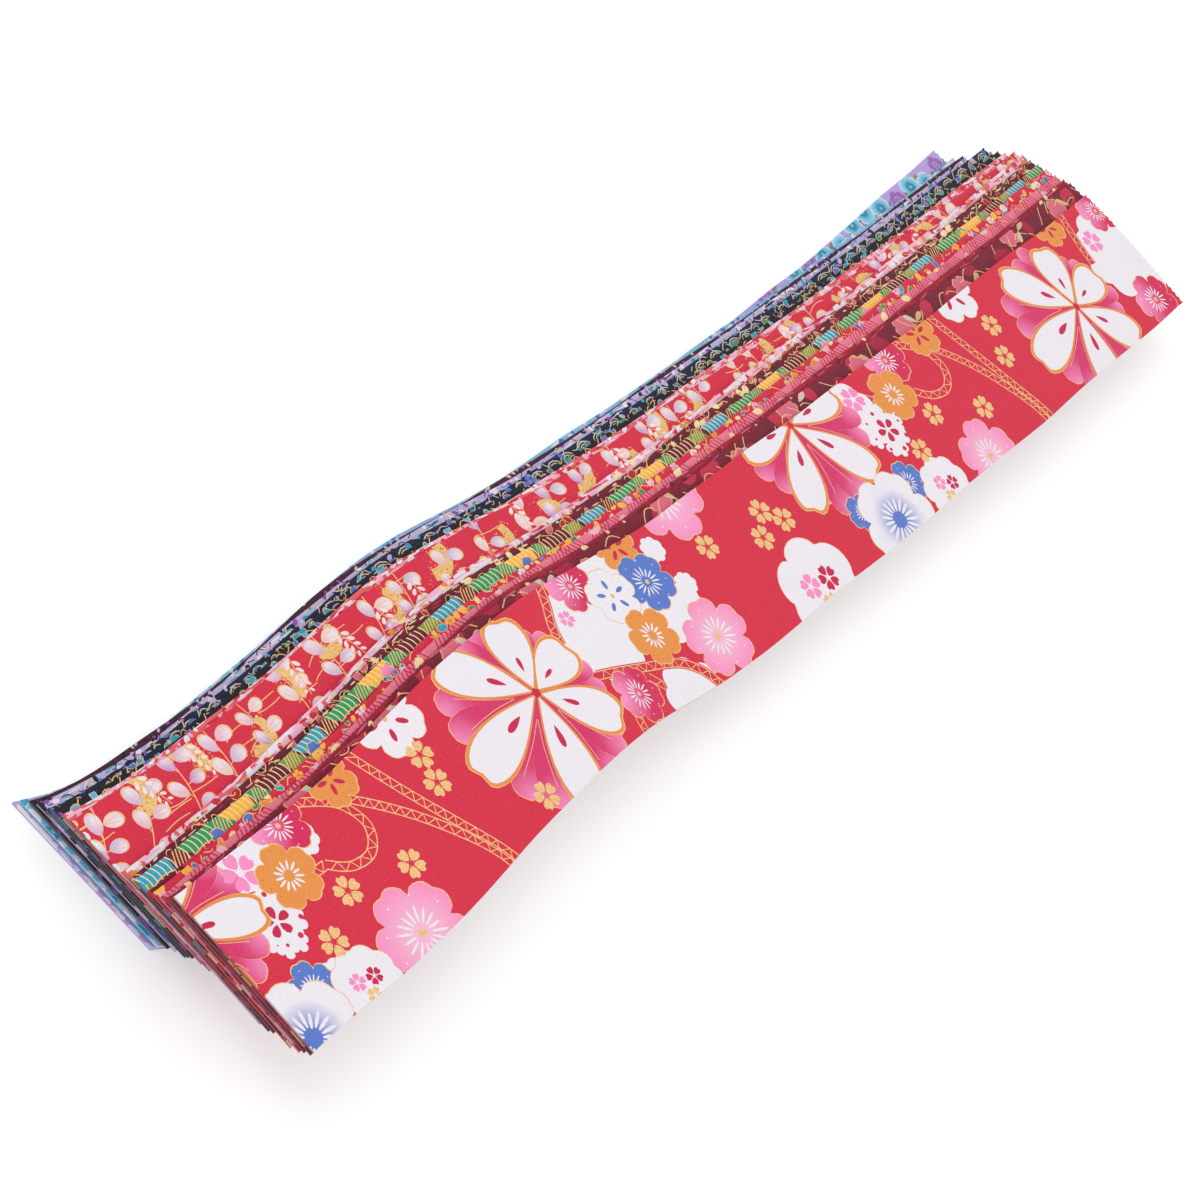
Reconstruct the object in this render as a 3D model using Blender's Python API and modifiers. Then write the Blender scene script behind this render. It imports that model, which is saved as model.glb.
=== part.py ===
"""A fanned stack of printed cotton strips, lying flat, with one soft sideways bend that they share.

Every strip is cut 50 x 500 mm. The strips lie one on another from the table up, each pushed a
little further to the front than the one below, so that a band of each shows along the back.

Laying frame, in which the sizes below are given: X runs along the strips from the near end of
the top strip, Y runs from the front edge of the top strip to the back, and Z is up from the
table. An empty carries the whole stack to the origin, which is the middle of its footprint.
"""

from collections import namedtuple
from math import atan, cos, exp, pi, sin

import bpy
from mathutils import Vector

MM = 0.001

# Cloth
STRIP_WIDTH = 50 * MM
STRIP_THICKNESS = 1.0 * MM

# Air between one strip and the next
GAP_PRESSED = 0.33 * MM
GAP_NEAR_END = 0.60 * MM
GAP_FAR_END = 0.40 * MM
NEAR_SLOPE_START = 136 * MM
NEAR_SLOPE_END = 196 * MM
FAR_SLOPE_START = 300 * MM
FAR_SLOPE_END = 500 * MM

# Sideways bend that all strips share: one crest, steep towards the near end, with a long tail
BEND_CREST_X = 146 * MM
BEND_NEAR_REACH = 65 * MM
BEND_FAR_REACH = 45 * MM
BEND_TAIL_REACH = 170 * MM
BEND_FAR_SHIFT = 4.0 * MM
BEND_TAIL_SHIFT = 3.5 * MM

# Sag of the overhanging fronts, beyond the front edge of the lowest strip
SAG_EASE = 24 * MM
SAG_MARGIN = 1 * MM
SAG_SLOPE_NEAR = 0.05
SAG_SLOPE_MIDDLE = 0.15
SAG_SLOPE_FAR = 0.10
SAG_MIDDLE_X = 270 * MM

# Low hump that the bend pushes up in the overhanging fronts
HUMP_HEIGHT = 1.6 * MM
HUMP_X = 158 * MM
HUMP_REACH = 20 * MM
HUMP_RISE = 32 * MM

# The near corners of the lowest strips are pulled to the back
PULL_REACH = 13 * MM

# Each cut edge wanders a little
WANDER = 0.3 * MM
WANDER_LENGTH = 84 * MM
WANDER_TURN = 2.4

# Rows of the cage across the strip, between its two cut ends, and its columns along the strip
ROW_PLACES_MM = (11, 18, 28, 44, 62, 80, 95, 108, 120, 131, 141, 150, 159, 168, 178, 189,
                 202, 220, 243, 270, 300, 330, 360, 390, 418, 444, 466)
COLUMNS = 7

# behind: how far the back edge lies behind the top strip's, at the near end, middle and far end
Strip = namedtuple(
    "Strip", "name near_end far_end behind_near behind_middle behind_far pull colour roughness"
)
STRIPS = (
    Strip("strip_01_lavender_blossom", 3.8, 488.7, 40.6, 37.6, 50.4, 7.0, (0.56, 0.44, 0.78), 0.85),
    Strip("strip_02_sky_blossom", 4.6, 490.2, 40.8, 39.4, 42.4, 5.6, (0.35, 0.58, 0.80), 0.85),
    Strip("strip_03_plum", 5.4, 492.6, 40.8, 38.2, 41.2, 4.2, (0.17, 0.05, 0.12), 0.85),
    Strip("strip_04_lilac", 5.4, 492.0, 39.4, 37.0, 40.0, 3.1, (0.62, 0.55, 0.74), 0.85),
    Strip("strip_05_navy_waves", 5.1, 501.2, 37.9, 34.9, 38.2, 2.1, (0.03, 0.04, 0.10), 0.80),
    Strip("strip_06_teal_fans", 4.6, 501.6, 36.4, 32.6, 35.6, 2.8, (0.05, 0.35, 0.40), 0.80),
    Strip("strip_07_black_gold", 4.1, 502.4, 35.1, 31.3, 33.5, 2.8, (0.02, 0.02, 0.04), 0.80),
    Strip("strip_08_coral", 3.8, 502.2, 33.7, 29.8, 31.7, 2.0, (0.80, 0.38, 0.38), 0.85),
    Strip("strip_09_wisteria", 3.0, 505.8, 32.4, 27.8, 29.4, 0.0, (0.70, 0.04, 0.07), 0.80),
    Strip("strip_10_white_pink", 2.4, 505.2, 14.5, 20.0, 26.6, 0.0, (0.85, 0.66, 0.70), 0.85),
    Strip("strip_11_dark_crimson", 1.7, 504.4, 12.1, 17.6, 23.4, 0.0, (0.20, 0.02, 0.04), 0.80),
    Strip("strip_12_banded", 1.2, 503.7, 10.3, 14.6, 19.9, 0.0, (0.10, 0.42, 0.42), 0.80),
    Strip("strip_13_red_posy", 0.9, 502.8, 5.3, 11.1, 16.9, 0.0, (0.62, 0.04, 0.07), 0.80),
    Strip("strip_14_pink_check", 0.7, 502.4, 2.9, 8.7, 13.0, 0.0, (0.78, 0.26, 0.32), 0.85),
    Strip("strip_15_crimson", 0.5, 501.2, 1.6, 6.2, 9.4, 0.0, (0.36, 0.02, 0.06), 0.80),
    Strip("strip_16_burgundy", 0.2, 500.4, 0.6, 4.0, 7.2, 0.0, (0.28, 0.02, 0.04), 0.85),
    Strip("strip_17_top_blossom", 0.0, 500.0, 0.0, 0.0, 0.0, 0.0, (0.72, 0.04, 0.08), 0.85),
)


def smooth_step(value, start, end):
    """0 before start, 1 after end, with a soft rise between."""
    t = min(max((value - start) / (end - start), 0.0), 1.0)
    return t * t * (3 - 2 * t)


def bell(distance, reach):
    return exp(-((distance / reach) ** 2))


def bend_shift(x):
    """How far the bend carries every strip to the back at x."""
    away = x - BEND_CREST_X
    if away < 0:
        return (BEND_FAR_SHIFT + BEND_TAIL_SHIFT) * bell(away, BEND_NEAR_REACH)
    return BEND_FAR_SHIFT * bell(away, BEND_FAR_REACH) + BEND_TAIL_SHIFT * bell(away, BEND_TAIL_REACH)


def far_end_of(strip):
    return strip.far_end * MM


def near_end_of(strip):
    return strip.near_end * MM


def back_edge(strip, x):
    """Y of the strip's back edge at x."""
    t = x / far_end_of(STRIPS[-1])
    near, middle, far = strip.behind_near, strip.behind_middle, strip.behind_far
    behind = near * (1 - t) * (1 - 2 * t) + middle * 4 * t * (1 - t) + far * t * (2 * t - 1)
    pulled = strip.pull * exp(-max(x - near_end_of(strip), 0) / PULL_REACH)
    turn = WANDER_TURN * STRIPS.index(strip)
    wander = WANDER * sin(2 * pi * x / WANDER_LENGTH + turn)
    return STRIP_WIDTH + (behind + pulled) * MM + wander + bend_shift(x)


def layer_rise(x):
    """Height that each strip adds to the stack at x: its thickness and the air above it."""
    near = (GAP_NEAR_END - GAP_PRESSED) * (1 - smooth_step(x, NEAR_SLOPE_START, NEAR_SLOPE_END))
    far = (GAP_FAR_END - GAP_PRESSED) * smooth_step(x, FAR_SLOPE_START, FAR_SLOPE_END)
    return STRIP_THICKNESS + GAP_PRESSED + near + far


def sag_slope(x):
    """Slope that the overhanging fronts take, steepest in the middle of the strips."""
    to_middle = smooth_step(x, 0, SAG_MIDDLE_X)
    to_far = smooth_step(x, SAG_MIDDLE_X, far_end_of(STRIPS[-1]))
    slope = SAG_SLOPE_NEAR + (SAG_SLOPE_MIDDLE - SAG_SLOPE_NEAR) * to_middle
    return slope + (SAG_SLOPE_FAR - SAG_SLOPE_MIDDLE) * to_far


def sag(x, y):
    """How far the cloth at (x, y) hangs below a level stack, less the hump at the bend."""
    lowest = STRIPS[0]
    out = back_edge(lowest, x) - STRIP_WIDTH - SAG_MARGIN - y
    if out <= 0:
        return 0.0
    eased = out * out / (2 * SAG_EASE) if out < SAG_EASE else out - SAG_EASE / 2
    hump = HUMP_HEIGHT * bell(x - HUMP_X, HUMP_REACH) * smooth_step(out, 0, HUMP_RISE)
    return sag_slope(x) * eased - hump


def cloth_point(strip, x, across):
    """Point of the strip's underside: across runs from 0 at its front edge to 1 at its back edge."""
    step = MM
    heading = atan((back_edge(strip, x + step) - back_edge(strip, x - step)) / (2 * step))
    if x <= near_end_of(strip) + 2 * PULL_REACH:
        heading *= smooth_step(x, near_end_of(strip), near_end_of(strip) + 2 * PULL_REACH)
    from_middle = (across - 0.5) * STRIP_WIDTH
    middle = back_edge(strip, x) - STRIP_WIDTH / 2
    place_x = x - from_middle * sin(heading)
    place_y = middle + from_middle * cos(heading)
    below = STRIPS.index(strip)
    return Vector((place_x, place_y, below * layer_rise(place_x) - sag(place_x, place_y)))


def row_places(strip):
    inner = [place * MM for place in ROW_PLACES_MM]
    return [near_end_of(strip), *inner, far_end_of(strip)]


def make_cotton(strip):
    material = bpy.data.materials.new(strip.name + "_cotton")
    material.use_nodes = True
    principled = material.node_tree.nodes["Principled BSDF"]
    principled.inputs["Base Color"].default_value = (*strip.colour, 1.0)
    principled.inputs["Roughness"].default_value = strip.roughness
    principled.inputs["Metallic"].default_value = 0.0
    return material


def make_strip(strip, collection):
    """An open grid laid on the strip's underside, given its thickness upwards."""
    places = row_places(strip)
    bpy.ops.mesh.primitive_grid_add(
        x_subdivisions=len(places) - 1, y_subdivisions=COLUMNS - 1, size=2
    )
    obj = bpy.context.object
    obj.name = strip.name
    obj.data.name = strip.name
    for vertex in obj.data.vertices:
        row = round((vertex.co.x + 1) / 2 * (len(places) - 1))
        across = (vertex.co.y + 1) / 2
        vertex.co = cloth_point(strip, places[row], across)
    thickness = obj.modifiers.new("cloth thickness", "SOLIDIFY")
    thickness.thickness = STRIP_THICKNESS
    thickness.offset = 1.0
    obj.data.materials.append(make_cotton(strip))
    for owner in list(obj.users_collection):
        owner.objects.unlink(obj)
    collection.objects.link(obj)
    return obj


def centre_stack(strips, collection):
    """Parents the strips to an empty that brings the middle of the footprint to the origin."""
    xs = [vertex.co.x for obj in strips for vertex in obj.data.vertices]
    ys = [vertex.co.y for obj in strips for vertex in obj.data.vertices]
    stack = bpy.data.objects.new("fabric_strip_stack", None)
    stack.location = (-(min(xs) + max(xs)) / 2, -(min(ys) + max(ys)) / 2, 0)
    collection.objects.link(stack)
    for obj in strips:
        obj.parent = stack


def main():
    for obj in list(bpy.data.objects):
        bpy.data.objects.remove(obj)
    collection = bpy.data.collections.new("fabric_strips")
    bpy.context.scene.collection.children.link(collection)
    strips = [make_strip(strip, collection) for strip in STRIPS]
    centre_stack(strips, collection)


if __name__ == "__main__":
    main()
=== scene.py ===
"""Looks of a fanned stack of printed cotton strips, lying flat.

Each strip is one sheet of cloth, laid on the frame's own strip. Its print is drawn as flat shapes in
millimetres, u along the strip from the near end and v across it from the front edge, and is cut into
the sheet's faces, so that every colour has a clean edge. The weave, the slubs and the gold's glitter
come from the material, which reads the sheet's UV map.
"""

from collections import namedtuple
from math import cos, exp, hypot, pi, radians, sin
from random import Random

import bmesh
import bpy
import numpy as np
from mathutils import Matrix, Vector
from mathutils.bvhtree import BVHTree
from mathutils.geometry import delaunay_2d_cdt


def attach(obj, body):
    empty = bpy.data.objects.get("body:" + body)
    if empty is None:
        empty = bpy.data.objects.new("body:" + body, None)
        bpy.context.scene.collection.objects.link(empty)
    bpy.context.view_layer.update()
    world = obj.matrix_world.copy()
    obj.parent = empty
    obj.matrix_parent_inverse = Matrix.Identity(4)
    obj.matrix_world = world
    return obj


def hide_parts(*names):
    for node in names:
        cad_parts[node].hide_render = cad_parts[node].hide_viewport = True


bl_info = {
    "name": "Fanned cotton strips",
    "version": (1, 0, 0),
    "blender": (4, 5, 0),
    "location": "View3D > Sidebar > Cotton Strips",
    "description": "Lays printed cotton strips in a fan and sets a plain studio round them",
    "category": "Object",
}

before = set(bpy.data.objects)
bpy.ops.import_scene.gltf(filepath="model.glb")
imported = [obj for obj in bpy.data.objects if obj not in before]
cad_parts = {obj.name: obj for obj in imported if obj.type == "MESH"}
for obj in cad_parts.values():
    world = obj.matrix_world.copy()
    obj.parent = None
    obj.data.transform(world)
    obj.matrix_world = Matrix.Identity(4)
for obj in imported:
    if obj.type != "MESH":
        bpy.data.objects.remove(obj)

NODES = sorted(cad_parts)
MM = 0.001
STRIP_WIDTH = 50.0


def linear(red, green, blue):
    """A colour given in the 0-255 of a screen, as light."""
    parts = [part / 255 for part in (red, green, blue)]
    return tuple(p / 12.92 if p <= 0.04045 else ((p + 0.055) / 1.055) ** 2.4 for p in parts)


# Colours of the prints

RED = linear(206, 38, 64)
DEEP_RED = linear(180, 24, 46)
WHITE = linear(228, 222, 229)
CREAM = linear(238, 214, 164)
PINK = linear(238, 138, 186)
PALE_PINK = linear(236, 176, 200)
MAGENTA = linear(206, 48, 100)
CRIMSON = linear(194, 28, 72)
BRIGHT_CRIMSON = linear(204, 34, 84)
ORANGE = linear(222, 140, 66)
OLD_GOLD = linear(228, 176, 108)
BRIGHT_GOLD = linear(222, 176, 92)
BLUE = linear(86, 116, 192)
DEEP_BLUE = linear(30, 96, 150)
ICE_BLUE = linear(196, 210, 240)
PALE_SKY = linear(150, 208, 236)
SKY = linear(96, 178, 222)
TEAL = linear(48, 158, 186)
TURQUOISE = linear(116, 204, 208)
GREEN = linear(42, 150, 92)
BOTTLE_GREEN = linear(30, 92, 66)
LEAF_GREEN = linear(120, 150, 60)
OLIVE = linear(128, 132, 66)
YELLOW = linear(244, 178, 62)
BURGUNDY = linear(112, 16, 42)
MAROON = linear(104, 18, 40)
DUSTY_PINK = linear(208, 100, 122)
NAVY = linear(24, 26, 52)
BLACK = linear(22, 20, 30)
BEIGE = linear(200, 186, 168)
SAND = linear(196, 170, 120)
LILAC = linear(186, 172, 212)
LAVENDER = linear(178, 154, 212)
PURPLE = linear(138, 76, 168)
MAUVE = linear(160, 110, 190)
CORAL = linear(222, 96, 104)
PALE_BACK = linear(214, 196, 206)
BUD_TIP = linear(230, 216, 228)
BUD_COLOURS = (
    linear(220, 172, 196), linear(206, 166, 210), linear(228, 192, 192), LILAC, linear(184, 132, 204),
)
SEED_PINK = linear(238, 212, 220)

# Inner colour up to start millimetres from the centre, outer colour from end on; gold glitters at 1
Paint = namedtuple("Paint", "inner outer centre start end gold", defaults=((0.0, 0.0), 0.0, 1.0, 0.0))
GOLD = Paint(OLD_GOLD, OLD_GOLD, gold=1.0)
GLITTER = Paint(BRIGHT_GOLD, BRIGHT_GOLD, gold=1.0)

# Outlines that motifs are made of

# How wide, as angles, a petal's notch and a lobe's dent are, and what makes a petal its full width
NOTCH_REACH = 0.30
DENT_REACH = 0.13
PETAL_SWELL = 1.18


def point_at(centre, turn, out):
    """The point that lies out millimetres from the centre, in the direction turn."""
    return centre[0] + out * cos(turn), centre[1] + out * sin(turn)


def turns_round(count, angle=0.0, start=0):
    """count directions evenly round a circle, the first one start steps on from angle."""
    return [angle + 2 * pi * (i + start) / count for i in range(count)]


def turned(points, angle, centre, size=1.0):
    """The points scaled and turned about the origin, which is then carried to the centre."""
    c, s = cos(angle) * size, sin(angle) * size
    return [(centre[0] + x * c - y * s, centre[1] + x * s + y * c) for x, y in points]


def oval(length, width, count=12):
    return [(length / 2 * cos(turn), width / 2 * sin(turn)) for turn in turns_round(count)]


def petal(length, width, notch=0.0, fullness=0.45, count=26):
    """A petal from its foot at the origin out along x, with a dent of notch in its tip."""
    points = []
    for turn in turns_round(count):
        out = (1 - cos(turn)) / 2
        x = length * out - notch * exp(-(((turn - pi) / NOTCH_REACH) ** 2))
        points.append((x, width / 2 * sin(turn) * max(out, 1e-6) ** fullness * PETAL_SWELL))
    return points


def lobed(radius, lobes, depth=0.30, roundness=0.55, dent=0.0, count=60):
    """A flower's outline with rounded lobes, each with a small dent where dent is given."""
    points = []
    for turn in turns_round(count):
        lobe = abs(cos(lobes * turn / 2))
        away = ((turn * lobes / (2 * pi) + 0.5) % 1 - 0.5) * 2 * pi / lobes
        dented = dent * exp(-((away / DENT_REACH) ** 2))
        out = radius * (1 - depth + depth * lobe**roundness - dented)
        points.append(point_at((0, 0), turn, out))
    return points


def curve_between(p, q, r, s, t):
    """The curve from q, at t = 0, to r, at t = 1, which comes from p and goes on to s."""
    bent = (2 * p - 5 * q + 4 * r - s) * t * t
    return 0.5 * (2 * q + (r - p) * t + bent + (3 * q - p - 3 * r + s) * t**3)


def curve_through(places, steps=8):
    """A smooth line through the places."""
    places = [places[0], *places, places[-1]]
    line = []
    for four in zip(places, places[1:], places[2:], places[3:]):
        for i in range(steps):
            line.append(tuple(curve_between(*values, i / steps) for values in zip(*four)))
    return [*line, tuple(places[-1])]


def beside(line, shift):
    """The line moved sideways by shift, to its left where shift is above 0."""
    moved = []
    for i, (x, y) in enumerate(line):
        before, after = line[max(i - 1, 0)], line[min(i + 1, len(line) - 1)]
        dx, dy = after[0] - before[0], after[1] - before[1]
        size = hypot(dx, dy) or 1.0
        moved.append((x - dy / size * shift, y + dx / size * shift))
    return moved


def ribbon_shape(line, width):
    """The outline of a band along the line."""
    return beside(line, width / 2) + beside(line, -width / 2)[::-1]


STROKE_PIECE = 6
SPOKE_SHARE = 0.62
HEART_DOT = 0.14
RING_DOT = 0.17

# Widths of the laced ribbons, of the ground under them, their edges and threads, and the zigzag's step
LACE_WIDTH = 2.6
LACE_GROUND = 3.6
LACE_EDGE = 0.34
LACE_THREAD = 0.26
LACE_STEP = 1.35

# How much shorter the petals of a grand blossom are on the side that slants away
SLANT_SHARE = 0.26


class Print:
    """The shapes of one strip's print, each over the ones before it."""

    def __init__(self, ground, seed):
        self.shapes = []
        self.ground = ground
        self.chance = Random(seed)

    def add(self, points, paint):
        """One shape in a paint, or in a plain colour."""
        area = sum(a[0] * b[1] - b[0] * a[1] for a, b in zip(points, points[1:] + points[:1]))
        paint = paint if isinstance(paint, Paint) else Paint(paint, paint)
        self.shapes.append((points if area > 0 else points[::-1], paint))

    def lay(self, points, angle, centre, paint, size=1.0):
        """A shape that is scaled, turned and carried to the centre."""
        self.add(turned(points, angle, centre, size), paint)

    def dot(self, centre, radius, paint, count=7):
        self.lay(oval(2 * radius, 2 * radius, count), 0.3, centre, paint)

    def stroke(self, line, width, paint):
        """A painted line, in short lengths, so that it may cross itself."""
        for start in range(0, len(line) - 1, STROKE_PIECE):
            self.add(ribbon_shape(line[start : start + STROKE_PIECE + 1], width), paint)

    def outlined(self, points, angle, centre, fill, edge=GOLD, margin=0.3):
        """A shape with an even-looking edge: the same outline, a little larger, behind it."""
        reach = max(hypot(*p) for p in points)
        self.lay(points, angle, centre, edge, 1 + margin / reach)
        self.lay(points, angle, centre, fill)

    def ray(self, shape, out, turn, centre, paint):
        """A shape pushed out along x, then turned about the centre."""
        self.lay(turned(shape, 0, (out, 0)), turn, centre, paint)

    def five_rays(self, shape, out, angle, centre, paint):
        """The same shape five times round the centre."""
        for turn in turns_round(5, angle):
            self.ray(shape, out, turn, centre, paint)

    def white_patch(self, centre, radius, angle):
        """A plain scalloped patch, which blossoms are printed over."""
        self.lay(lobed(radius, 8, 0.16, 0.7), angle, centre, WHITE)

    def laced_ribbon(self, places):
        """Two fine gold edges with a zigzag between them."""
        line = curve_through(places)
        left, right = beside(line, LACE_WIDTH / 2), beside(line, -LACE_WIDTH / 2)
        self.stroke(left, LACE_EDGE, GOLD)
        self.stroke(right, LACE_EDGE, GOLD)
        corners = []
        travelled = 0.0
        for i, (a, b) in enumerate(zip(line, line[1:]), 1):
            travelled += hypot(b[0] - a[0], b[1] - a[1])
            if travelled >= LACE_STEP:
                travelled = 0.0
                corners.append((left if len(corners) % 2 else right)[i])
        for a, b in zip(corners, corners[1:]):
            self.add(ribbon_shape([a, b], LACE_THREAD), GOLD)

    def lace(self, *places):
        """A laced ribbon with a strip of the ground under it, which parts the white patches."""
        self.add(ribbon_shape(curve_through(places), LACE_GROUND), self.ground)
        self.laced_ribbon(places)

    def stamens(self, centre, reach, angle, spokes, width, paint=WHITE, tips=False):
        """Fine spokes round the middle of a blossom. With tips, dots lie beyond every other one."""
        for i, turn in enumerate(turns_round(spokes, angle, 0.5)):
            out = reach * self.chance.uniform(0.80, 1.0) * SPOKE_SHARE
            self.ray(oval(out, width, 7), out, turn, centre, paint)
            if tips and i % 2:
                self.dot(point_at(centre, turn, 1.2 * reach), width * 0.42, paint, 5)

    def small_blossom(self, centre, radius, angle, paint=GOLD):
        """Five small separate petals with a tiny centre."""
        heart = 0.2 * radius
        for turn in turns_round(5, angle):
            shape = petal(radius * 0.86, radius * 0.74, radius * 0.16, 0.25, 12)
            self.lay(shape, turn, point_at(centre, turn, heart), paint)
        for turn in turns_round(5, angle, 0.5):
            self.dot(point_at(centre, turn, heart), HEART_DOT, paint, 5)

    def blossom(self, centre, radius, angle, inner, outer, spokes=WHITE, edge=GOLD, lit=0.0):
        """A round five-lobed blossom with a fine edge and stamens, paler on the side it is lit from."""
        light = (centre[0] - lit * radius, centre[1] + 0.3 * lit * radius)
        fill = Paint(inner, outer, light, radius * 0.25, radius * (0.95 + 0.35 * lit))
        self.outlined(lobed(radius, 5, dent=0.08), angle, centre, fill, edge, 0.36)
        self.stamens(centre, radius * 0.60, angle, 16, radius * 0.045 + 0.1, spokes, tips=True)
        self.dot(centre, radius * 0.07 + 0.15, GLITTER)

    def orange_blossom(self, centre, radius, angle, seeds=None):
        """An orange blossom with white stamens, or with seeds of a colour, and a ring of fine dots."""
        self.outlined(lobed(radius, 5, dent=0.07), angle, centre, ORANGE, margin=0.36)
        if seeds:
            self.five_rays(oval(radius * 0.42, radius * 0.17, 10), radius * 0.34, angle, centre, seeds)
        else:
            self.stamens(centre, radius * 0.55, angle, 13, 0.75)
        for i, turn in enumerate(turns_round(15, angle)):
            out = radius * (0.72 if i % 3 else 0.82)
            self.dot(point_at(centre, turn, out), RING_DOT, CRIMSON, 5)

    def seeded_blossom(self, centre, radius, angle, seeds=CRIMSON):
        """A white blossom with a coloured seed mark in each lobe."""
        self.outlined(lobed(radius, 5, dent=0.06), angle, centre, WHITE)
        self.five_rays(oval(radius * 0.34, radius * 0.15, 9), radius * 0.42, angle, centre, seeds)
        self.dot(centre, radius * 0.08, GLITTER)

    def rayed_blossom(self, centre, radius, angle):
        """A white blossom whose blue heart fades outwards under white rays."""
        fill = Paint(BLUE, WHITE, centre, radius * 0.16, radius * 0.62)
        self.outlined(lobed(radius, 5, 0.24, 0.5, 0.05), angle, centre, fill)
        self.stamens(centre, radius * 0.56, angle, 17, 1.1)

    def lacy_cluster(self, centre, radius, angle):
        """Small white blossoms run together, with one red blossom cut out of them."""
        chance = self.chance
        for even_turn in turns_round(9, angle):
            turn = even_turn + chance.uniform(-0.2, 0.2)
            place = point_at(centre, turn, radius * chance.uniform(0.45, 0.72))
            size = radius * chance.uniform(0.24, 0.36)
            self.lay(lobed(size, 5, 0.34, 0.6, 0.0, 30), turn, place, WHITE)
        self.lay(lobed(radius * 0.62, 7, 0.14, 0.6, 0.0, 40), angle, centre, WHITE)
        for turn in turns_round(8, angle, 0.4):
            place = point_at(centre, turn, radius * chance.uniform(0.60, 0.76))
            self.dot(place, chance.uniform(0.5, 0.9), self.ground)
        for turn in turns_round(5, angle):
            shape = petal(radius * 0.36, radius * 0.24, 0.2, 0.3, 10)
            self.lay(shape, turn, point_at(centre, turn, 0.8), CRIMSON)

    def cloud_blossom(self, centre, radius, angle, lobes):
        """A wide scalloped white blossom with three small blossoms in it."""
        shape = lobed(radius, lobes, 1.1 / lobes, 0.6, 0.0, 80)
        self.outlined(shape, angle, centre, WHITE, margin=0.25)
        for turn, paint in zip(turns_round(3, angle), (CRIMSON, PINK, GOLD)):
            self.small_blossom(point_at(centre, turn, 0.30 * radius), radius * 0.24, turn, paint)

    def grand_blossom(self, centre, radius, angle, slant):
        """Six broad white petals edged in orange over magenta ones, all shorter towards slant."""
        turns = [turn + self.chance.uniform(-0.10, 0.10) for turn in turns_round(6, angle)]
        for turn, following in zip(turns, turns[1:] + turns[:1]):
            middle = turn + (following - turn) % (2 * pi) / 2
            size = radius * (1 - SLANT_SHARE * cos(middle - slant))
            for side, share in ((-0.40, 0.84), (0.40, 0.84), (-0.15, 0.93), (0.15, 0.93)):
                reach = size * share * self.chance.uniform(0.96, 1.04)
                shape = petal(reach, size * 0.36, size * 0.02, 0.95)
                tip = turned([(reach * 0.96, reach * 0.10)], middle + side, centre)[0]
                self.lay(shape, middle + side, centre, GOLD, 1 + 0.30 / reach)
                self.lay(shape, middle + side, centre, Paint(PINK, MAGENTA, tip, 0.0, size * 0.27))
            for side in (-0.16, 0.16):
                vein = [(size * 0.22, side), (size * 0.45, side * size * 0.30),
                        (size * 0.72, side * size * 0.85)]
                vein = turned(curve_through(vein, 3), middle, centre)
                self.add(ribbon_shape(vein, 0.20), GOLD)
        for turn in turns:
            size = radius * (1 - SLANT_SHARE * cos(turn - slant))
            width = radius * 0.50 + size * 0.06
            edge = petal(size, width, size * 0.07, 0.62, 34)
            self.lay(edge, turn, centre, GOLD, 1 + 0.35 / size)
            self.lay(edge, turn, centre, ORANGE)
            self.ray(petal(size - 2.6, width - 2.3, size * 0.06, 0.58, 34), 1.5, turn, centre, WHITE)
            self.ray(petal(size * 0.19, size * 0.065, 0, 0.5, 12), size * 0.27, turn, centre, CRIMSON)
        self.lay(lobed(radius * 0.05, 5, 0.3), angle, centre, CRIMSON)


# From a print to a sheet of cloth

COLUMNS = 9
PER_METRE = 1000
SHARP_ANGLE = radians(40)

# In metres: how close two corners of a solid are one, how far above and below it a ray starts, and how
# far inwards the ray is tried in turn
JOINING_DISTANCE = 1e-5
RAY_START = 0.1
RAY_TRIES = (0.0, 2e-5, 1e-4, 5e-4, 1.5e-3)

# Parts of a side wall's outward direction that point sideways, at least, and up or down, at most
SIDEWAYS = 0.7
STEEP = 0.5

# In millimetres: the pitch of the zigzags and of a plain cut, the cut's own waver, how close two points
# of the print count as one, and how far apart the points inside the upper side and the underside lie
END_PITCH = 1.1
SIDE_PITCH = 0.9
PLAIN_PITCH = 2.5
SNIP = 0.06
WAVER = 0.12
WAVER_LENGTHS = (9.0, 23.0)
SAME_POINT = 2e-3
UPPER_SPACING = (4.0, 5.0)
UNDER_SPACING = (9.0, 8.3)

# How much of the pale reverse shows in the dye of the underside and of the cut edge, and how much
# more painted shade the lower half of the cut edge gets than the upper one
REVERSE_SHARE = 0.36
CUT_SHARE = 0.16
LOWER_EDGE_PAINTED_SHADE = 0.04


def smoothed(places, values, wanted):
    """Smooth values at the wanted places, through values given at places."""
    slopes = np.gradient(values, places, axis=0)
    cell = np.clip(np.searchsorted(places, wanted, side="right") - 1, 0, len(places) - 2)
    span = (places[cell + 1] - places[cell])[:, None]
    t = np.clip((wanted - places[cell])[:, None] / span, -0.2, 1.2)
    rise = (3 - 2 * t) * t * t
    level = values[cell] * (1 - rise) + values[cell + 1] * rise
    leaving, arriving = slopes[cell] * span, slopes[cell + 1] * span
    return level + leaving * t * (1 - t) ** 2 - arriving * t * t * (1 - t)


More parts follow.
